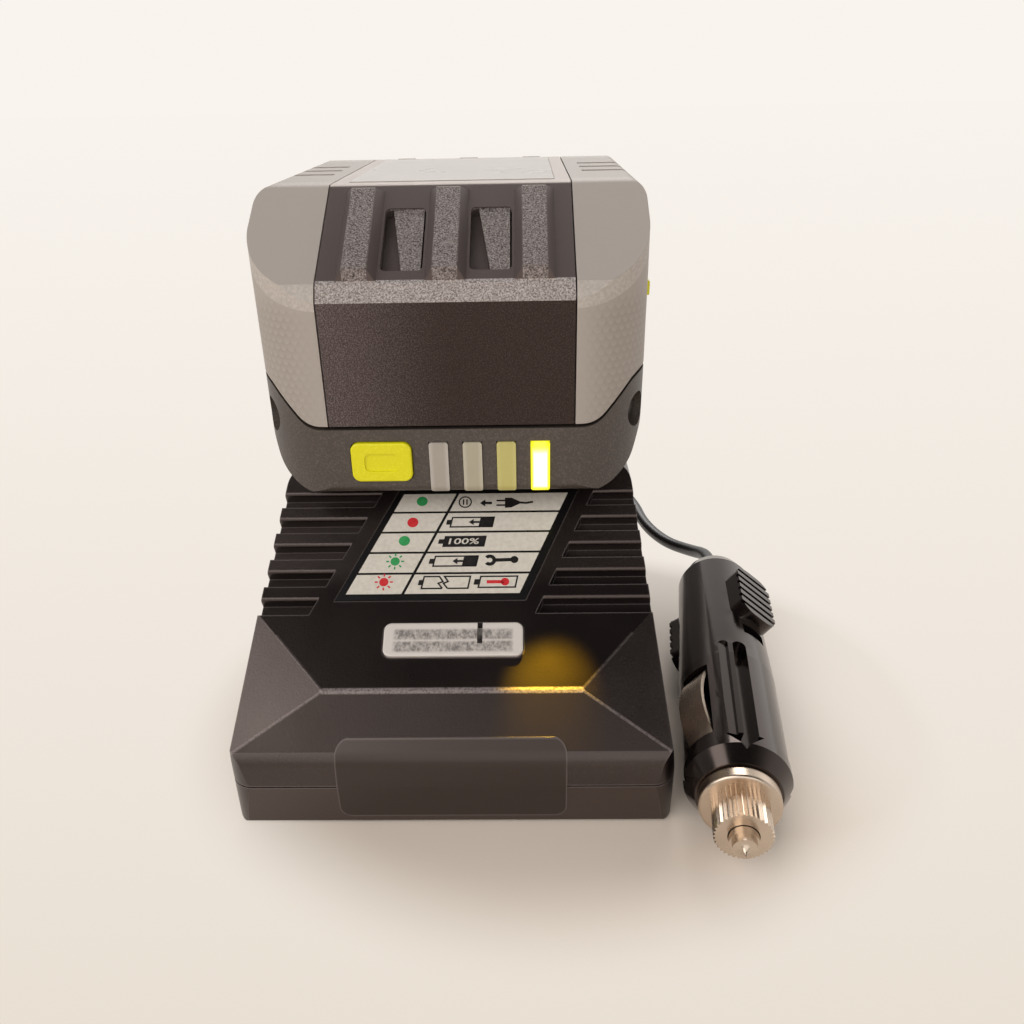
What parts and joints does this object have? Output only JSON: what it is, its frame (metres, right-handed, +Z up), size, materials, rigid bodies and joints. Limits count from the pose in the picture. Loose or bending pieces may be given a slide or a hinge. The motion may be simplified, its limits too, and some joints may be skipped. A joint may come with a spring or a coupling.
{
  "type": "battery charger",
  "caption": "Wedge-shaped vehicle charger for a slide-in power tool battery, with a sloping indicator deck, louvres, a battery pack in its socket, and a lead to an accessory plug.",
  "frame": {"origin": "middle of the charger's footprint on the floor, left and right, front and back, without its cord", "axes": "+Z up, -Y towards the front with the indicator deck, +X to the right seen from the front"},
  "size_m": [0.1206, 0.2502, 0.1161],
  "materials": {
    "housing_black": "fine moulded texture",
    "foot_rubber": "matt rubber",
    "screw_steel": "zinc plated",
    "clear_film": "clear bare film",
    "label_print": "printed pictograms",
    "bare_plate": "bare satin plate",
    "lamp_bar": "frosted",
    "lamp_red": "moulded lamp",
    "lamp_green": "moulded lamp",
    "board_green": "lacquered board",
    "component_dark": "moulded",
    "winding_copper": "enamelled copper",
    "can_aluminium": "sleeved can",
    "sink_aluminium": "extruded",
    "contact_nickel": "warm nickel plate",
    "spring_steel": "drawn wire",
    "pack_black": "coarse moulded texture",
    "grip_grey": "soft overmoulding with fish-scale grain",
    "cover_grey": "moulded",
    "accent_lime": "satin",
    "gauge_clear": "translucent",
    "gauge_lit": "translucent, lit",
    "cell_wrap": "shrink sleeve",
    "holder_white": "moulded",
    "cord_black": "satin vinyl",
    "tie_black": "moulded tie",
    "plug_black": "polished moulding",
    "fuse_glass": "clear"
  },
  "bodies": {
    "charger": {"base_housing": "housing_black", "upper_housing": "housing_black", "rubber_feet": "foot_rubber", "housing_screws": "screw_steel", "front_film": "clear_film", "instruction_label": "label_print", "light_pipe": "lamp_bar", "circuit_board": "board_green", "lamp_charging": "lamp_red", "lamp_ready": "lamp_green", "transformer": "component_dark", "choke": "winding_copper", "capacitors": "can_aluminium", "heat_sink": "sink_aluminium", "battery_socket": "housing_black", "socket_blades": "contact_nickel", "strain_relief": "cord_black", "cord_lead": "cord_black", "cord_coil": "cord_black", "cord_tie": "tie_black", "cord_run": "cord_black", "plug_shell_upper": "plug_black", "plug_shell_lower": "plug_black", "plug_crown": "plug_black", "plug_ring": "contact_nickel", "plug_cap": "contact_nickel", "plug_spring": "spring_steel", "plug_boot": "cord_black"},
    "battery": {"pack_shell": "pack_black", "grip_left": "grip_grey", "grip_right": "grip_grey", "pack_cover": "cover_grey", "pack_screws": "screw_steel", "side_panel_left": "pack_black", "side_panel_right": "pack_black", "accent_left": "accent_lime", "accent_right": "accent_lime", "rating_plate": "bare_plate", "gauge_lens_1": "gauge_clear", "gauge_lens_2": "gauge_clear", "gauge_lens_3": "gauge_clear", "gauge_lens_4": "gauge_lit", "gauge_board": "board_green", "gauge_switch": "component_dark", "gauge_lamps": "gauge_lit", "cells": "cell_wrap", "cell_holder_left": "holder_white", "cell_holder_right": "holder_white", "cell_straps_left": "contact_nickel", "cell_straps_right": "contact_nickel", "pack_board": "board_green", "stem_carrier": "component_dark", "stem_clips": "contact_nickel"},
    "gauge_button": {"gauge_button": "accent_lime"},
    "latch_left": {"latch_left": "pack_black"},
    "latch_right": {"latch_right": "pack_black"},
    "plug_tip": {"plug_pin": "contact_nickel", "plug_fuse": "fuse_glass"},
    "contact_left": {"contact_left": "contact_nickel"},
    "contact_right": {"contact_right": "contact_nickel"}
  },
  "joints": [
    {"name": "battery_lift", "type": "slide", "parent": "charger", "child": "battery", "axis": [0, 0, 1], "range_m": [0, 0.05]},
    {"name": "gauge_press", "type": "slide", "parent": "battery", "child": "gauge_button", "axis": [0, 1, 0], "range_m": [0, 0.0008], "stiffness_N_per_m": 400},
    {"name": "latch_left_press", "type": "slide", "parent": "battery", "child": "latch_left", "axis": [1, 0, 0], "range_m": [0, 0.0018], "stiffness_N_per_m": 600},
    {"name": "latch_right_press", "type": "slide", "parent": "battery", "child": "latch_right", "axis": [-1, 0, 0], "range_m": [0, 0.0018], "stiffness_N_per_m": 600},
    {"name": "tip_press", "type": "slide", "parent": "charger", "child": "plug_tip", "axis": [0.1331, 0.9911, 0], "range_m": [0, 0.0025], "stiffness_N_per_m": 600, "deforming": ["plug_spring"]},
    {"name": "contact_left_press", "type": "slide", "parent": "charger", "child": "contact_left", "axis": [0.7592, -0.102, -0.6428], "range_m": [0, 0.0015], "stiffness_N_per_m": 800},
    {"name": "contact_right_press", "type": "slide", "parent": "charger", "child": "contact_right", "axis": [-0.7592, 0.102, 0.6428], "range_m": [0, 0.0015], "stiffness_N_per_m": 800}
  ]
}
